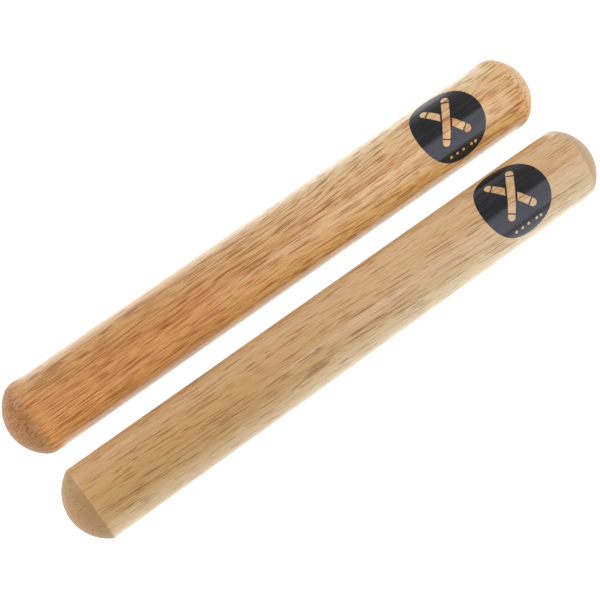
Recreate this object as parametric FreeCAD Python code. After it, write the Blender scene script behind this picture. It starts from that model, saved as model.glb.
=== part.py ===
"""Pair of claves: two solid turned hardwood sticks, each with a black printed disc near one end.

Frame: X along the sticks with the printed ends at +X, Y across the pair, Z up from the table.
The origin is on the table under the middle of the pair.
"""

import math
import os

import FreeCAD
import Part

# Driving dimensions, mm and degrees
STICK_LENGTH = 200.0  # over both domed ends
STICK_D = 25.0
DOME_HEIGHT = 7.5  # rise of each domed end
STICK_GAP = 7.3  # clear space between the two sticks as they lie

# how far the corner between the side and the dome is sanded round
FAR_EDGE_R = 6.0
NEAR_EDGE_R = 0.8

FILM_T = 0.05  # printed disc, stands on the wood
DISC_X = 66.35  # centre of the disc along the stick
DISC_LENGTH = 24.5  # along the stick
DISC_WRAP = 26.5  # measured round the stick
FAR_DISC_TURN = 10.2  # from straight up, towards -Y
NEAR_DISC_TURN = 9.4

# bare wood left clear in the disc: a crossed pair of sticks
CROSS_RISE = 1.5  # above the centre of the disc
CROSS_LENGTH = 17.5
CROSS_WIDTH = 2.6
CROSS_LEAN = 35.0  # of each stick from upright
CROSS_OUTLINE = 0.55  # print left between the upper and the lower stick
TIP_MARK = 2.3  # ring mark, in from each tip
TIP_MARK_WIDTH = 0.4

# and a row of round dots under it, spaced like a rhythm
DOT_D = 1.1
DOT_ROW_DROP = 9.9
DOT_PLACES = (-4.9, -2.45, 0.0, 3.25, 4.9)

STICK_R = STICK_D / 2
STICK_Y = (STICK_GAP + STICK_D) / 2
DOME_R = (STICK_R**2 + DOME_HEIGHT**2) / (2 * DOME_HEIGHT)
V = FreeCAD.Vector


def stick(y, edge_r):
    """Round bar with a spherical dome on each end, the corner between them sanded to edge_r."""
    tip = STICK_LENGTH / 2
    centre = tip - DOME_R
    rise, reach = STICK_R - edge_r, DOME_R - edge_r
    shoulder = centre + math.sqrt(reach**2 - rise**2)
    lean = math.atan2(rise, shoulder - centre)
    middle = (lean + math.pi / 2) / 2
    side_end = V(shoulder, 0, STICK_R)
    sanded = V(shoulder + edge_r * math.cos(middle), 0, rise + edge_r * math.sin(middle))
    dome_end = V(centre + DOME_R * math.cos(lean), 0, DOME_R * math.sin(lean))
    on_dome = V(centre + DOME_R * math.cos(lean / 2), 0, DOME_R * math.sin(lean / 2))
    corner = Part.Arc(side_end, sanded, dome_end).toShape()
    dome = Part.Arc(dome_end, on_dome, V(tip, 0, 0)).toShape()
    other_end = [e.mirror(V(0, 0, 0), V(1, 0, 0)) for e in (corner, dome)]
    side = Part.makeLine(V(-shoulder, 0, STICK_R), side_end)
    axis = Part.makeLine(V(tip, 0, 0), V(-tip, 0, 0))
    outline = Part.Wire(Part.__sortEdges__([corner, dome, axis, *other_end, side]))
    bar = Part.Face(outline).revolve(V(0, 0, 0), V(1, 0, 0), 360)
    bar.translate(V(0, y, STICK_R))
    return bar


def on_wood(along, wrap):
    """Place on a bar's skin, mm along it and mm round it, on the side away from its seam."""
    return FreeCAD.Base.Vector2d(math.pi + wrap / STICK_R, along)


def line(start, end):
    """Straight line on the wood between two (along, wrap) places."""
    return Part.Geom2d.Line2dSegment(on_wood(*start), on_wood(*end))


def curve(centre, half_length, half_wrap, start, end, steps=8):
    """Part of an oval on the wood, from one angle to another."""
    turns = [start + (end - start) * k / steps for k in range(steps + 1)]
    line_through = Part.Geom2d.BSplineCurve2d()
    line_through.interpolate(
        [
            on_wood(centre[0] + half_length * math.cos(t), centre[1] + half_wrap * math.sin(t))
            for t in turns
        ]
    )
    return line_through


def oval(centre, length, wrap, pieces):
    """Closed oval on the wood, in equal pieces."""
    turns = [2 * math.pi * k / pieces for k in range(pieces + 1)]
    return [curve(centre, length / 2, wrap / 2, a, b) for a, b in zip(turns, turns[1:])]


def drawn_stick(lean, start, end, round_start=False, round_end=False, slant=0.0):
    """Outline of one clear stretch of a drawn stick, from start to end along it.

    A round end is centred on start or end. A straight one lies across the stick, and the end
    nearer the middle of the cross leans by slant degrees.
    """
    w = CROSS_WIDTH / 2
    up, right = math.cos(math.radians(lean)), math.sin(math.radians(lean))

    def at(along, across):
        return (along * right + across * up, -(CROSS_RISE + along * up - across * right))

    skew = w * math.tan(math.radians(slant))
    start_skew, end_skew = (skew, 0.0) if abs(start) < abs(end) else (0.0, skew)
    a, b = at(start - start_skew, -w), at(start + start_skew, w)
    c, d = at(end + end_skew, w), at(end - end_skew, -w)
    first, last = line(a, b), line(c, d)
    # angle on the wood of the direction across the drawn stick
    across = math.atan2(right, up)
    if round_start:
        first = curve(at(start, 0), w, w, across + math.pi, across)
    if round_end:
        last = curve(at(end, 0), w, w, across, across - math.pi)
    return [first, line(b, c), last, line(d, a)]


def emblem():
    """Every clear opening in the print, each a closed list of lines on the wood."""
    tip = (CROSS_LENGTH - CROSS_WIDTH) / 2
    mark = CROSS_LENGTH / 2 - TIP_MARK
    inner, outer = mark - TIP_MARK_WIDTH / 2, mark + TIP_MARK_WIDTH / 2
    # the lower stick stops at the outline of the upper one, which crosses it at twice the lean
    stop = (CROSS_WIDTH / 2 + CROSS_OUTLINE) / math.sin(math.radians(2 * CROSS_LEAN))
    slant = 90 - 2 * CROSS_LEAN
    upper, lower = CROSS_LEAN, -CROSS_LEAN
    openings = [drawn_stick(upper, -inner, inner)]
    openings += [drawn_stick(lower, stop, inner, slant=slant)]
    openings += [drawn_stick(lower, -inner, -stop, slant=slant)]
    for lean in (upper, lower):
        openings += [drawn_stick(lean, outer, tip, round_end=True)]
        openings += [drawn_stick(lean, -tip, -outer, round_start=True)]
    openings += [oval((x, DOT_ROW_DROP), DOT_D, DOT_D, 4) for x in DOT_PLACES]
    return openings


def film(y, turn):
    """Printed disc: a thin skin wrapped on the stick, with the emblem left open."""
    loops = [oval((0, 0), DISC_LENGTH, DISC_WRAP, 8), *emblem()]
    skins = []
    for r in (STICK_R, STICK_R + FILM_T):
        surface = Part.makeCylinder(r, 1).Faces[0].Surface
        wires = [Part.Wire([c.toShape(surface) for c in loop]) for loop in loops]
        holes = [Part.Face(surface, w) for w in wires[1:]]
        skins += Part.Face(surface, wires[0]).cut(holes).Faces
    under, over = skins
    rims = [Part.makeRuledSurface(a, b) for a, b in zip(under.Edges, over.Edges)]
    skin = Part.makeSolid(Part.makeShell([under, over, *rims]))
    # the disc was drawn on an upright bar, facing -X: lay the bar down and face the disc up
    lie_down = FreeCAD.Rotation(V(0, 0, -1), V(0, 1, 0), V(1, 0, 0), "XYZ")
    skin.Placement = FreeCAD.Placement(
        V(DISC_X, y, STICK_R), FreeCAD.Rotation(V(1, 0, 0), turn) * lie_down
    )
    return skin


os.makedirs("parts", exist_ok=True)
stick(STICK_Y, FAR_EDGE_R).exportStep("parts/far_clave.step")
stick(-STICK_Y, NEAR_EDGE_R).exportStep("parts/near_clave.step")
film(STICK_Y, FAR_DISC_TURN).exportStep("parts/far_badge.step")
film(-STICK_Y, NEAR_DISC_TURN).exportStep("parts/near_badge.step")
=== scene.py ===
"""Looks of a pair of claves: two turned and lacquered hardwood sticks, each with a black printed
disc wrapped near one end, lying side by side on a lit white table. Metres, in the CAD frame."""

import math

import bpy
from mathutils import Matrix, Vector


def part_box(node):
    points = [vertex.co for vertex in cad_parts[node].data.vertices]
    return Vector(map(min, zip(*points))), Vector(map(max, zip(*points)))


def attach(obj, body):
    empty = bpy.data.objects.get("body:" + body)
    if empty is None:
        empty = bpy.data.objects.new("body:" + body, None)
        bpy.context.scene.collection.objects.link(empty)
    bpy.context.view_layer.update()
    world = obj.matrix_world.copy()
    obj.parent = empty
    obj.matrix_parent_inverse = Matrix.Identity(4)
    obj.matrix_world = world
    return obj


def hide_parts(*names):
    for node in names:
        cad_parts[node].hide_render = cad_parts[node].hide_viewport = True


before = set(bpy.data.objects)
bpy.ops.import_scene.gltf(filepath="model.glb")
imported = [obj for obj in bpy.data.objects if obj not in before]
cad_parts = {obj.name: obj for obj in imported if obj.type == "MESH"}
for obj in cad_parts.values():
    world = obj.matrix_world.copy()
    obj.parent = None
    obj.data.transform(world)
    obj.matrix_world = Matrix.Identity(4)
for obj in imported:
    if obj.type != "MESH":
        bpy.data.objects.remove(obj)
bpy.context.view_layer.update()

MM = 0.001

# sticks
SIDES = 160
SIDE_R_MM = 12.5  # of the straight side, for the wood patterns, which are in mm
DOME_HEIGHT = 7.5 * MM
DOME_RINGS = 14
FAR_EDGE_R = 6.0 * MM
NEAR_EDGE_R = 0.8 * MM
# the printed half's lighter tone is a painted highlight, the sheen along the fibres
PLAIN_HALF_ENDS_MM = -55  # its tone passes to the printed half's between these two places
PRINTED_HALF_STARTS_MM = 35
EDGE_RINGS = 5
SIDE_RINGS = 48

# printed disc, drawn flat and upright before it is wrapped on a stick
FILM_T = 0.05 * MM
CUTTER_T = 20 * FILM_T
DISC_X = 66.35 * MM
DISC_LENGTH = 24.5 * MM
DISC_WRAP = 26.5 * MM
DISC_SIDES = 160
WRAP_CUTS = 72
FAR_DISC_TURN = math.radians(10.2)
NEAR_DISC_TURN = math.radians(9.4)

# bare wood left in the disc: a crossed pair of sticks over a row of dots
CROSS_RISE = 1.5 * MM
CROSS_LENGTH = 17.5 * MM
CROSS_WIDTH = 2.6 * MM
CROSS_LEAN = math.radians(35)
CROSS_OUTLINE = 0.55 * MM
TIP_MARK = 2.3 * MM
TIP_MARK_WIDTH = 0.4 * MM
DOT_D = 1.1 * MM
DOT_ROW_DROP = 9.9 * MM
DOT_PLACES = (-4.9 * MM, -2.45 * MM, 0.0, 3.25 * MM, 4.9 * MM)


# ---------------------------------------------------------------- modelling by hand


def clear_selection():
    bpy.ops.object.select_all(action="DESELECT")


def apply_place():
    bpy.ops.object.transform_apply(location=True, rotation=True, scale=True)


def select_faces(piece, wanted):
    """Select the faces of the active piece for which wanted(face) is true, and go to edit mode."""
    bpy.ops.object.mode_set(mode="EDIT")
    bpy.ops.mesh.select_mode(type="FACE")
    bpy.ops.mesh.select_all(action="DESELECT")
    bpy.ops.object.mode_set(mode="OBJECT")
    for face in piece.data.polygons:
        face.select = wanted(face)
    bpy.ops.object.mode_set(mode="EDIT")


def select_edges(piece, wanted):
    """Select the edges of the active piece for which wanted(end, end) is true, in edit mode."""
    bpy.ops.object.mode_set(mode="EDIT")
    bpy.ops.mesh.select_mode(type="EDGE")
    bpy.ops.mesh.select_all(action="DESELECT")
    bpy.ops.object.mode_set(mode="OBJECT")
    points = piece.data.vertices
    for edge in piece.data.edges:
        edge.select = wanted(*(points[i].co for i in edge.vertices))
    bpy.ops.object.mode_set(mode="EDIT")


def end_profile(radius, half_length, edge_r):
    """(x, r) of every ring from the end of the straight side to the tip of the dome."""
    dome_r = (radius**2 + DOME_HEIGHT**2) / (2 * DOME_HEIGHT)
    centre = half_length - dome_r
    rise, reach = radius - edge_r, dome_r - edge_r
    shoulder = centre + math.sqrt(reach**2 - rise**2)
    lean = math.atan2(rise, shoulder - centre)
    rings = []
    for k in range(EDGE_RINGS + 1):
        turn = math.pi / 2 + (lean - math.pi / 2) * k / EDGE_RINGS
        rings.append((shoulder + edge_r * math.cos(turn), rise + edge_r * math.sin(turn)))
    for k in range(1, DOME_RINGS + 1):
        turn = lean * (1 - k / DOME_RINGS)
        rings.append((centre + dome_r * math.cos(turn), dome_r * math.sin(turn)))
    return rings


def turned_stick(name, node, edge_r):
    """Cylinder with each end drawn out ring by ring over the sanded corner and the dome."""
    low, high = (Vector(corner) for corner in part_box(node))
    middle = (low + high) / 2
    radius = (high.z - low.z) / 2
    rings = end_profile(radius, (high.x - low.x) / 2, edge_r)
    clear_selection()
    bpy.ops.mesh.primitive_cylinder_add(
        vertices=SIDES,
        radius=radius,
        depth=2 * rings[0][0],
        location=middle,
        rotation=(0, math.pi / 2, 0),
    )
    stick = bpy.context.object
    stick.name = stick.data.name = name
    apply_place()
    select_edges(stick, lambda a, b: abs(a.x - b.x) > radius)
    bpy.ops.mesh.subdivide(number_cuts=SIDE_RINGS)
    for side in (1, -1):
        select_faces(stick, lambda face: face.normal.x * side > 0.9)
        for (x, r), (next_x, next_r) in zip(rings, rings[1:]):
            step = side * (next_x - x)
            bpy.ops.mesh.extrude_region_move(TRANSFORM_OT_translate={"value": (step, 0, 0)})
            if next_r > 1e-6:
                at_ring = (middle.x + side * next_x, middle.y, middle.z)
                shrink = (1, next_r / r, next_r / r)
                bpy.ops.transform.resize(value=shrink, center_override=at_ring)
        bpy.ops.mesh.merge(type="CENTER")
        bpy.ops.object.mode_set(mode="OBJECT")
    bpy.ops.object.shade_smooth()
    return stick


def stencil_bar(lean, start, end, round_tip=False, slant=0.0):
    """Cutter for one clear stretch of a drawn stick, from start to end along it."""
    clear_selection()
    bpy.ops.mesh.primitive_cube_add(size=1)
    bar = bpy.context.object
    bpy.ops.transform.resize(value=(CROSS_WIDTH, CUTTER_T, abs(end - start)))
    apply_place()
    outer = 1 if abs(end) > abs(start) else -1
    if round_tip:
        select_edges(bar, lambda a, b: a.z * outer > 0 and b.z * outer > 0 and a.x * b.x > 0)
        bpy.ops.mesh.bevel(offset=CROSS_WIDTH / 2 * 0.999, segments=12)
        bpy.ops.object.mode_set(mode="OBJECT")
    if slant:
        rise = CROSS_WIDTH / 2 * math.tan(slant)
        for side in (1, -1):
            select_edges(
                bar,
                lambda a, b: max(a.z * outer, b.z * outer) < 0 < min(a.x * side, b.x * side),
            )
            bpy.ops.transform.translate(value=(0, 0, side * rise))
            bpy.ops.object.mode_set(mode="OBJECT")
    bar.location = (0, 0, (start + end) / 2)
    apply_place()
    bar.rotation_euler = (0, lean, 0)
    bar.location = (0, 0, CROSS_RISE)
    apply_place()
    return bar


def stencil_dot(x):
    clear_selection()
    bpy.ops.mesh.primitive_cylinder_add(
        vertices=32,
        radius=DOT_D / 2,
        depth=CUTTER_T,
        location=(x, 0, -DOT_ROW_DROP),
        rotation=(math.pi / 2, 0, 0),
    )
    apply_place()
    return bpy.context.object


def emblem_stencil():
    """Everything that is cut out of the print, as one object."""
    tip = CROSS_LENGTH / 2
    mark = tip - TIP_MARK
    inner, outer = mark - TIP_MARK_WIDTH / 2, mark + TIP_MARK_WIDTH / 2
    stop = (CROSS_WIDTH / 2 + CROSS_OUTLINE) / math.sin(2 * CROSS_LEAN)
    slant = math.pi / 2 - 2 * CROSS_LEAN
    cutters = [stencil_bar(CROSS_LEAN, -inner, inner)]
    cutters += [stencil_bar(-CROSS_LEAN, stop, inner, slant=slant)]
    cutters += [stencil_bar(-CROSS_LEAN, -inner, -stop, slant=slant)]
    for lean in (CROSS_LEAN, -CROSS_LEAN):
        cutters += [stencil_bar(lean, outer, tip, round_tip=True)]
        cutters += [stencil_bar(lean, -tip, -outer, round_tip=True)]
    cutters += [stencil_dot(x) for x in DOT_PLACES]
    clear_selection()
    for cutter in cutters:
        cutter.select_set(True)
    bpy.context.view_layer.objects.active = cutters[0]
    bpy.ops.object.join()
    return bpy.context.object


def flat_print():
    """Oval film with the emblem cut out, upright in XZ, its front towards -Y."""
    stencil = emblem_stencil()
    clear_selection()
    bpy.ops.mesh.primitive_cylinder_add(
        vertices=DISC_SIDES,
        radius=0.5,
        depth=FILM_T,
        location=(0, -FILM_T / 2, 0),
        rotation=(math.pi / 2, 0, 0),
    )
    film = bpy.context.object
    apply_place()
    bpy.ops.transform.resize(value=(DISC_LENGTH, 1, DISC_WRAP), center_override=(0, 0, 0))
    apply_place()
    cut = film.modifiers.new("emblem", "BOOLEAN")
    cut.operation = "DIFFERENCE"
    cut.solver = "EXACT"
    cut.object = stencil
    bpy.ops.object.modifier_apply(modifier=cut.name)
    bpy.data.objects.remove(stencil)
    return film


def wrap_print(film, radius):
    """Slice the film into narrow strips and bend it round the X axis."""
    bpy.ops.object.mode_set(mode="EDIT")
    for k in range(1, WRAP_CUTS):
        height = DISC_WRAP * (k / WRAP_CUTS - 0.5)
        bpy.ops.mesh.select_all(action="SELECT")
        bpy.ops.mesh.bisect(plane_co=(0, 0, height), plane_no=(0, 0, 1))
    bpy.ops.object.mode_set(mode="OBJECT")
    bend = film.modifiers.new("wrap", "SIMPLE_DEFORM")
    bend.deform_method = "BEND"
    bend.deform_axis = "X"
    bend.angle = DISC_WRAP / radius
    bpy.ops.object.modifier_apply(modifier=bend.name)
    # centre of the bend to the origin, front of the film up
    film.location = (0, -radius, 0)
    apply_place()
    film.rotation_euler = (-math.pi / 2, 0, 0)
    apply_place()
    bpy.ops.object.shade_smooth_by_angle(angle=math.radians(30))


def lay_print(flat, name, stick_node, turn):
    """A copy of the wrapped film on one stick."""
    low, high = (Vector(corner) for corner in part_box(stick_node))
    film = flat.copy()
    film.data = flat.data.copy()
    film.name = film.data.name = name
    bpy.context.scene.collection.objects.link(film)
    clear_selection()
    film.select_set(True)
    bpy.context.view_layer.objects.active = film
    film.rotation_euler = (turn, 0, 0)
    film.location = (DISC_X, (low.y + high.y) / 2, (low.z + high.z) / 2)
    apply_place()
    return film


# ---------------------------------------------------------------- materials


class Finish:
    """A material's nodes, added one at a time and wired as they are added."""

    def __init__(self, name):
        self.material = bpy.data.materials.new(name)
        self.material.use_nodes = True
        self.tree = self.material.node_tree
        self.shader = self.tree.nodes["Principled BSDF"]

    def put(self, value, socket):
        if isinstance(value, bpy.types.NodeSocket):
            self.tree.links.new(value, socket)
        elif socket.type == "RGBA" and len(value) == 3:
            socket.default_value = (*value, 1)
        else:
            socket.default_value = value

    def node(self, kind, inputs=None, **settings):
        made = self.tree.nodes.new("ShaderNode" + kind)
        for key, value in settings.items():
            setattr(made, key, value)
        for key, value in (inputs or {}).items():
            self.put(value, made.inputs[key])
        return made

    def math(self, operation, *values, clamp=False):
        made = self.node("Math", operation=operation, use_clamp=clamp)
        for value, socket in zip(values, made.inputs):
            self.put(value, socket)
        return made.outputs[0]

    def mix(self, factor, below, above, blend="MIX"):
        made = self.node("Mix", data_type="RGBA", blend_type=blend)
        self.put(factor, made.inputs["Factor"])
        self.put(below, made.inputs[6])
        self.put(above, made.inputs[7])
        return made.outputs[2]

    def between(self, value, low, high, to_low=0.0, to_high=1.0):
        """value eased from low..high to to_low..to_high."""
        inputs = {"Value": value, 1: low, 2: high, 3: to_low, 4: to_high}
        return self.node("MapRange", inputs, interpolation_type="SMOOTHSTEP").outputs[0]

    def split(self, place):
        return self.node("SeparateXYZ", {"Vector": place}).outputs

    def join(self, x, y, z):
        return self.node("CombineXYZ", {"X": x, "Y": y, "Z": z}).outputs[0]

    def stretched(self, place, along, across, deep=None, shift=(0, 0, 0)):
        """Coordinates for a pattern whose grains are so many mm long, wide and deep."""
        scale = (1 / along, 1 / across, 1 / (deep or across))
        inputs = {"Vector": place, "Location": shift, "Scale": scale}
        return self.node("Mapping", inputs).outputs[0]

    def noise(self, place, detail=2.0, roughness=0.5):
        inputs = {"Vector": place, "Scale": 1.0, "Detail": detail, "Roughness": roughness}
        return self.node("TexNoise", inputs).outputs["Fac"]

    def ramp(self, value, stops):
        made = self.node("ValToRGB", {"Fac": value})
        elements = made.color_ramp.elements
        while len(elements) < len(stops):
            elements.new(0.5)
        for element, (place, colour) in zip(elements, stops):
            element.position = place
            element.color = (*colour, 1)
        return made.outputs[0]

    def look(self, **values):
        """Set the shader's own sockets, given with _ for a space."""
        for key, value in values.items():
            self.put(value, self.shader.inputs[key.replace("_", " ")])


def stick_place(finish, node, face):
    """Object coordinates in mm from the middle of a stick's axis, turned to face a given way.

    They run along the stick, across the face towards its +Y side, and out of the face.
    """
    low, high = (Vector(corner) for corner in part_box(node))
    middle = (low + high) / 2
    coords = finish.node("TexCoord").outputs["Object"]
    moved = {"Vector": coords, "Location": tuple(-middle / MM), "Scale": (1 / MM,) * 3}
    centred = finish.node("Mapping", moved).outputs[0]
    turned = {"Vector": centred, "Rotation": (-math.radians(face), 0, 0)}
    return finish.node("Mapping", turned).outputs[0]


def fibre_place(finish, place, slope, spread):
    """The same coordinates bent so that the fibres run straight along the first of them.

    slope is how far the fibres drift towards -Y per mm along the stick, and spread how fast
    they fan out from the middle of the face on the printed half.
    """
    x, across, out = finish.split(place)
    drift = finish.math("MULTIPLY_ADD", x, slope, across)
    fan = finish.math("MULTIPLY_ADD", finish.math("MAXIMUM", x, 0.0), spread, 1.0)
    drift = finish.math("DIVIDE", drift, fan)
    slow = finish.noise(finish.stretched(place, 38, 9), 1.0)
    quick = finish.noise(finish.stretched(place, 7, 2.2), 1.0)
    drift = finish.math("ADD", drift, finish.math("MULTIPLY_ADD", slow, 1.8, -0.9))
    drift = finish.math("ADD", drift, finish.math("MULTIPLY_ADD", quick, 0.24, -0.12))
    return finish.join(x, drift, out)


def face_place(turn, x, face, slope, spread):
    """Where a spot at a turn and x comes to lie once the fibres are straight."""
    lean = math.radians(turn - face)
    across = (x * slope - SIDE_R_MM * math.sin(lean)) / (1 + spread * max(x, 0))
    return (x, across, SIDE_R_MM * math.cos(lean))


def pores(finish, fibre, length, width, reach, share, shift):
    """Cut vessels: dashes on the side and dots on the end grain, from 0 to 1.

    reach is their half-length in cells of the given length and width, share how many of the
    cells hold one.
    """
    place = finish.stretched(fibre, length, width, width * 1.7, shift=shift)
    cells = finish.node("TexVoronoi", {"Vector": place, "Scale": 1.0})
    dash = finish.between(cells.outputs["Distance"], reach * 0.7, reach, 1.0, 0.0)
    pick, strength, _ = finish.split(cells.outputs["Color"])
    depth = finish.math("MULTIPLY_ADD", strength, 0.6, 0.4)
    there = finish.math("LESS_THAN", pick, share)
    return finish.math("MULTIPLY", finish.math("MULTIPLY", dash, depth), there)


def veins(finish, fibre, length, width, levels, breaks, shift):
    """Fine dark lines that run with the fibre, part now and then, and stop and start again."""
    layers = finish.noise(finish.stretched(fibre, length, width, width * 3, shift=shift), 1.0)
    between_lines = finish.math("PINGPONG", finish.math("MULTIPLY", layers, levels), 0.5)
    line = finish.between(between_lines, 0.05, 0.2, 1.0, 0.0)
    gaps = finish.noise(finish.stretched(fibre, length / 4, width / 2, width, shift=shift), 1.0)
    return finish.math("MULTIPLY", line, finish.between(gaps, breaks, breaks + 0.12))


def marks(finish, fibre, wood):
    """The stronger dashes, each put in its own place on the face."""
    total = None
    for x, turn, length, width, depth in wood["marks"]:
        at = face_place(turn, x, wood["face"], wood["slope"], wood["spread"])
        inputs = {"Vector": fibre, "Location": at, "Scale": (length / 2, width / 2, width)}
        local = finish.node("Mapping", inputs, vector_type="TEXTURE").outputs[0]
        away = finish.node("VectorMath", {0: local}, operation="LENGTH").outputs["Value"]
        mark = finish.between(away, 0.2, 1.0, depth, 0.0)
        total = mark if total is None else finish.math("MAXIMUM", total, mark)
    return total


def wood_tone_with_painted_light(finish, place, wood):
    """Broad colour of the wood with painted light in it, from the plain half to the printed half of
    the stick: lighter and darker round the stick as painted light, shade and reflection, and lighter
    on the printed half as a painted highlight.
    """
    x, across, _ = finish.split(place)
    spot = finish.math("MULTIPLY_ADD", across, -0.5 / SIDE_R_MM, 0.5)
    halves = []
    # the tones round the stick hold painted light, painted shade and painted reflections of the table
    # and the other stick
    for stops in (wood["plain"], wood["printed"]):
        spots = []
        for turn, colour in stops:
            lean = math.radians(turn - wood["face"])
            spots.append((0.5 + math.sin(lean) / 2, colour))
        halves.append(finish.ramp(spot, spots))
    # the lighter printed half is a painted highlight, standing in for the sheen along the fibres
    return finish.mix(finish.between(x, PLAIN_HALF_ENDS_MM, PRINTED_HALF_STARTS_MM), *halves)


def lacquered_wood(name, node, wood):
    finish = Finish(name)
    place = stick_place(finish, node, wood["face"])
    fibre = fibre_place(finish, place, wood["slope"], wood["spread"])
    seed = wood["seed"]
    x = finish.split(place)[0]

    patch = finish.noise(finish.stretched(fibre, 22, 2.4, 6, shift=seed), 2.0)
    crowd = finish.between(patch, 0.36, 0.62, wood["few"], wood["many"])
    short = pores(finish, fibre, 17, 0.43, 0.43, crowd, seed)
    fleck = pores(finish, fibre, 8, 0.36, 0.43, wood["flecks"], seed)
    line = veins(finish, fibre, 36, 1.4, 4.5, wood["breaks"], seed)
    mark = marks(finish, fibre, wood)

    streak = finish.noise(finish.stretched(fibre, 60, 0.9, 5, shift=seed), 3.0, 0.6)
    hair = finish.noise(finish.stretched(fibre, 3.5, 0.36, 0.5, shift=seed), 2.0, 0.6)
    # tone holds painted light: painted shade and painted reflections round the stick, and a painted
    # highlight towards the printed end
    tone = wood_tone_with_painted_light(finish, place, wood)
    dull = finish.between(streak, 0.32, 0.68, 0.5, -0.4)
    colour = finish.mix(1.0, tone, finish.mix(dull, (1, 1, 1), wood["streak"]), "MULTIPLY")
    thin = finish.between(hair, 0.3, 0.7, 0.6, -0.5)
    colour = finish.mix(1.0, colour, finish.mix(thin, (1, 1, 1), wood["streak"]), "MULTIPLY")

    past = finish.math("SUBTRACT", finish.math("ABSOLUTE", x), wood["shoulder"])
    end = finish.between(past, -0.3 * wood["blend"], wood["blend"])
    calm = finish.math("MULTIPLY_ADD", end, -wood["end_calm"], 1.0)
    sanded = finish.between(past, wood["sanded"], wood["sanded"] + wood["blend"])
    # the end by the print is much lighter than the plain end: painted light on that end, over the
    # darker tone of the end grain
    end_tone = finish.mix(finish.math("GREATER_THAN", x, 0.0), wood["plain_end"], wood["printed_end_with_painted_light"])
    colour = finish.mix(finish.math("MULTIPLY", end, wood["end_cover"]), colour, end_tone)
    for pattern, part, dark in ((line, 0.8, "line"), (fleck, 0.85, "line"), (short, 0.95, "pore")):
        part = finish.math("MULTIPLY", pattern, finish.math("MULTIPLY", calm, part))
        colour = finish.mix(part, colour, wood[dark], "MULTIPLY")
    colour = finish.mix(finish.math("MULTIPLY", mark, 0.9), colour, wood["pore"], "MULTIPLY")

    hollow = finish.math("MAXIMUM", finish.math("MAXIMUM", short, line), mark)
    height = finish.math("MULTIPLY_ADD", hair, 0.3, finish.math("MULTIPLY", hollow, -1.0))
    bump = finish.node("Bump", {"Height": height, "Distance": 0.02 * MM, "Strength": 0.4})
    finish.look(
        Base_Color=colour,
        Roughness=0.5,
        Specular_IOR_Level=0.1,
        Normal=bump.outputs[0],
        Coat_Weight=finish.math("MULTIPLY_ADD", sanded, -0.9, 1.0),
        Coat_Roughness=0.11,
        Coat_IOR=1.5,
    )
    return finish.material


# plain and printed: the turn round the axis, 0 on top and growing towards -Y, and the tone there,
# with painted light, painted shade and painted reflections of the table and the other stick in it
# marks: x and length and width in mm, turn in degrees, depth from 0 to 1
FAR_WOOD = {
    "face": 22,
    "slope": 0.0,
    "spread": 0.011,
    "seed": (11.0, 3.0, 5.0),
    "shoulder": 90.9,
    "few": 0.45,
    "many": 0.8,
    "breaks": 0.44,
    # far stick: the orange of the lower side is a painted reflection of the near stick, the pale
    # upper edge a painted reflection of the table, and the printed half is lighter as a painted
    # highlight
    "plain": [
        (-45, (0.34, 0.20, 0.08)),
        (10, (0.39, 0.19, 0.07)),
        (70, (0.50, 0.26, 0.09)),
    ],
    "printed": [
        (-45, (0.43, 0.33, 0.19)),
        (10, (0.46, 0.29, 0.15)),
        (70, (0.53, 0.32, 0.12)),
    ],
    "streak": (0.78, 0.64, 0.50),
    "line": (0.62, 0.42, 0.27),
    "pore": (0.52, 0.31, 0.18),
    "flecks": 0.6,
    "plain_end": (0.185, 0.085, 0.030),
    "printed_end_with_painted_light": (0.40, 0.25, 0.125),
    "end_cover": 0.85,
    "end_calm": 0.15,
    "blend": 4.0,
    "sanded": -4.5,
    "marks": [
        # x, turn, length, width, depth
        (-9, 25, 9, 1.2, 0.7),
        (-6.5, 46, 5, 0.4, 0.9),
        (-45, 18, 9, 1.1, 0.6),
        (-38, 64, 14, 1.2, 0.5),
        (-30, 41, 11, 0.7, 0.6),
        (-44, -2, 25, 0.4, 0.6),
        (-79, -2, 11, 0.5, 0.6),
        (-83, 16, 17, 0.4, 0.7),
        (-74, 27, 13, 0.5, 0.7),
        (-81, 34, 9, 0.5, 0.7),
        (-73, 50, 4, 0.5, 0.8),
        (-23, -21, 11, 0.4, 0.6),
        (8, 8, 8, 0.5, 0.7),
        (21, -15, 14, 0.4, 0.6),
        (37, 21, 10, 0.5, 0.7),
        (84, 6, 18, 0.4, 0.6),
    ],
}
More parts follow.
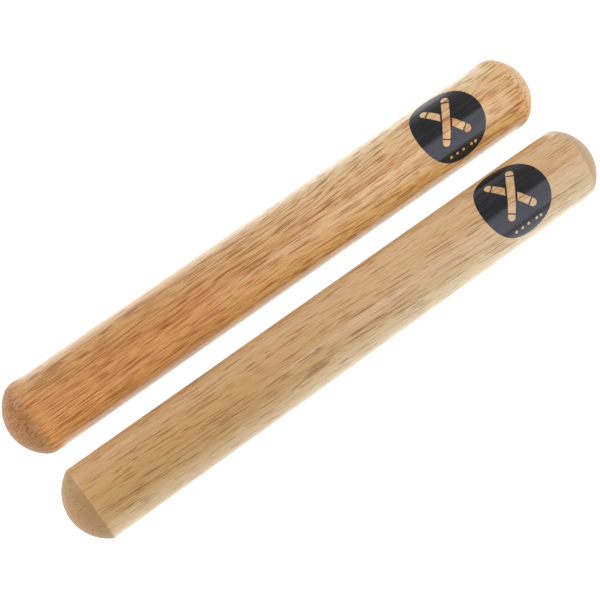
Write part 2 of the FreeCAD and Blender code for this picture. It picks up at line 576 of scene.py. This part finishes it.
NEAR_WOOD = {
    "face": 15,
    "slope": 0.05,
    "spread": 0.0,
    "seed": (47.0, 29.0, 13.0),
    "shoulder": 92.4,
    "few": 0.1,
    "many": 0.42,
    "breaks": 0.5,
    # near stick: the tones round it hold painted light and painted shade, and the printed half is
    # lighter as a painted highlight
    "plain": [
        (-45, (0.36, 0.23, 0.12)),
        (10, (0.34, 0.20, 0.08)),
        (70, (0.31, 0.21, 0.09)),
    ],
    "printed": [
        (-45, (0.39, 0.26, 0.14)),
        (10, (0.39, 0.26, 0.14)),
        (70, (0.38, 0.29, 0.16)),
    ],
    "streak": (0.84, 0.73, 0.61),
    "line": (0.64, 0.45, 0.32),
    "pore": (0.50, 0.31, 0.18),
    "flecks": 0.2,
    "plain_end": (0.195, 0.115, 0.051),
    "printed_end_with_painted_light": (0.27, 0.18, 0.10),
    "end_cover": 0.9,
    "end_calm": 0.4,
    "blend": 0.6,
    "sanded": -0.3,
    "marks": [
        (-73, 27, 16, 0.7, 0.95),
        (-88, -9, 6, 0.5, 0.7),
        (-81, 0, 4, 0.7, 0.8),
        (-75, 0, 3, 0.6, 0.8),
        (-55, -4, 15, 0.4, 0.6),
        (-58, 8, 6, 0.7, 0.8),
        (-44, -23, 10, 0.4, 0.8),
        (-42, 30, 13, 0.6, 0.7),
        (-25, -14, 3, 0.6, 0.8),
        (-20, 10, 11, 0.8, 0.7),
        (-27, 23, 5, 0.5, 0.8),
        (-12, 23, 3, 0.8, 0.8),
        (-9, 38, 8, 0.6, 0.9),
        (7, 17, 14, 0.6, 0.8),
        (30, 17, 4, 0.7, 0.7),
        (49, 17, 10, 0.7, 0.95),
        (12, 42, 8, 0.5, 0.8),
        (31, 34, 5, 0.5, 0.7),
        (87, 19, 12, 0.6, 0.7),
    ],
}


def black_print():
    """Gloss black ink that sinks a little into the grain under it."""
    finish = Finish("black print")
    coords = finish.node("TexCoord").outputs["Object"]
    place = finish.node("Mapping", {"Vector": coords, "Scale": (1 / MM,) * 3}).outputs[0]
    hair = finish.noise(finish.stretched(place, 9, 0.35), 2.0, 0.6)
    wave = finish.noise(finish.stretched(place, 16, 1.5), 2.0)
    pore = pores(finish, place, 9, 0.55, 0.4, 0.18, (3.0, 8.0, 1.0))
    tone = finish.between(wave, 0.35, 0.65)
    colour = finish.mix(tone, (0.011, 0.0102, 0.0095), (0.0185, 0.017, 0.016))
    colour = finish.mix(finish.math("MULTIPLY", pore, 0.6), colour, (0.003, 0.0025, 0.0025))
    height = finish.math("MULTIPLY_ADD", hair, 0.5, finish.math("MULTIPLY", wave, 1.5))
    height = finish.math("SUBTRACT", height, finish.math("MULTIPLY", pore, 0.6))
    bump = finish.node("Bump", {"Height": height, "Distance": 0.02 * MM, "Strength": 0.5})
    finish.look(
        Base_Color=colour,
        Roughness=0.17,
        Specular_IOR_Level=0.55,
        Specular_Tint=(0.74, 0.77, 1.0),
        Normal=bump.outputs[0],
    )
    return finish.material


# ---------------------------------------------------------------- table, light and camera


def lit_table():
    """White table top, lit from below so that it carries no shadow."""
    clear_selection()
    bpy.ops.mesh.primitive_plane_add(size=6, location=(0, 0, 0))
    table = bpy.context.object
    table.name = "table"
    finish = Finish("lit table")
    finish.look(
        Base_Color=(0.4, 0.4, 0.4),
        Roughness=0.7,
        Specular_IOR_Level=0.2,
        Emission_Color=(1.0, 1.0, 0.985),
        Emission_Strength=1.29,
    )
    table.data.materials.append(finish.material)


def soft_box(name, place, aim, size, brightness, colour):
    """Rectangular lamp that looks equally bright from everywhere in front of it."""
    light = bpy.data.lights.new(name, "AREA")
    light.shape = "RECTANGLE"
    light.size, light.size_y = size
    light.energy = brightness * math.pi * size[0] * size[1]
    light.color = colour
    box = bpy.data.objects.new(name, light)
    box.location = place
    box.rotation_euler = (Vector(place) - Vector(aim)).to_track_quat("Z", "Y").to_euler()
    box.visible_camera = False
    bpy.context.scene.collection.objects.link(box)


def studio():
    world = bpy.data.worlds.new("studio")
    bpy.context.scene.world = world
    world.use_nodes = True
    sky = world.node_tree.nodes["Background"]
    sky.inputs["Color"].default_value = (1, 1, 1, 1)
    nodes, links = world.node_tree.nodes, world.node_tree.links
    ray = nodes.new("ShaderNodeTexCoord").outputs["Generated"]
    parts = nodes.new("ShaderNodeSeparateXYZ")
    links.new(ray, parts.inputs[0])
    fade = nodes.new("ShaderNodeMapRange")
    fade.inputs["From Max"].default_value = 0.5
    fade.inputs["To Min"].default_value = 1.0
    fade.inputs["To Max"].default_value = 0.25
    links.new(parts.outputs["Z"], fade.inputs["Value"])
    links.new(fade.outputs[0], sky.inputs["Strength"])
    pink = (1.0, 0.97, 0.96)
    white = (1.0, 1.0, 1.0)
    soft_box("front soft box", (0.33, -0.39, 0.40), (0.08, 0, 0), (0.36, 0.6), 1.85, pink)
    soft_box("back", (-0.70, 0.85, 0.55), (0, 0, 0), (1.0, 1.0), 5.2, white)
    soft_box("top", (-0.60, 0.0, 1.10), (0, 0, 0), (0.7, 0.7), 3.6, white)
    soft_box("side", (0.95, 0.10, 0.40), (0, 0, 0), (0.6, 0.6), 8.0, white)
    soft_box("fill", (-0.55, -0.60, 0.45), (0, 0, 0), (0.55, 0.55), 5.0, white)


def camera():
    """Long lens looking steeply down from the plain end of the near stick."""
    turn, rise = math.radians(-36.9), math.radians(69.35)
    distance = 475.6 * MM
    aim = Vector((-4.3, -1.8, 12.5)) * MM
    back = Vector(
        (math.sin(turn) * math.cos(rise), -math.cos(turn) * math.cos(rise), math.sin(rise))
    )
    lens = bpy.data.cameras.new("camera")
    lens.sensor_width = 36
    lens.lens = 91.9
    lens.clip_start = 0.01
    eye = bpy.data.objects.new("camera", lens)
    eye.location = aim + back * distance
    eye.rotation_euler = back.to_track_quat("Z", "Y").to_euler()
    bpy.context.scene.collection.objects.link(eye)
    bpy.context.scene.camera = eye


# ---------------------------------------------------------------- the object


def place_piece(piece, body, slot, material, *nodes):
    piece.data.materials.clear()
    piece.data.materials.append(material)
    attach(piece, body)
    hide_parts(*nodes)


far = turned_stick("far_wood_stick", "far_clave", FAR_EDGE_R)
near = turned_stick("near_wood_stick", "near_clave", NEAR_EDGE_R)
far_wood = lacquered_wood("far wood", "far_clave", FAR_WOOD)
place_piece(far, "far_stick", "far_wood", far_wood, "far_clave")
near_wood = lacquered_wood("near wood", "near_clave", NEAR_WOOD)
place_piece(near, "near_stick", "near_wood", near_wood, "near_clave")

stick_radius = (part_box("far_clave")[1][2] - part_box("far_clave")[0][2]) / 2
print_once = flat_print()
wrap_print(print_once, stick_radius)
ink = black_print()
far_print = lay_print(print_once, "far_print", "far_clave", FAR_DISC_TURN)
near_print = lay_print(print_once, "near_print", "near_clave", NEAR_DISC_TURN)
bpy.data.objects.remove(print_once)
place_piece(far_print, "far_stick", "black_print", ink, "far_badge")
place_piece(near_print, "near_stick", "black_print", ink, "near_badge")

lit_table()
studio()
camera()
bpy.context.scene.view_settings.view_transform = "Standard"
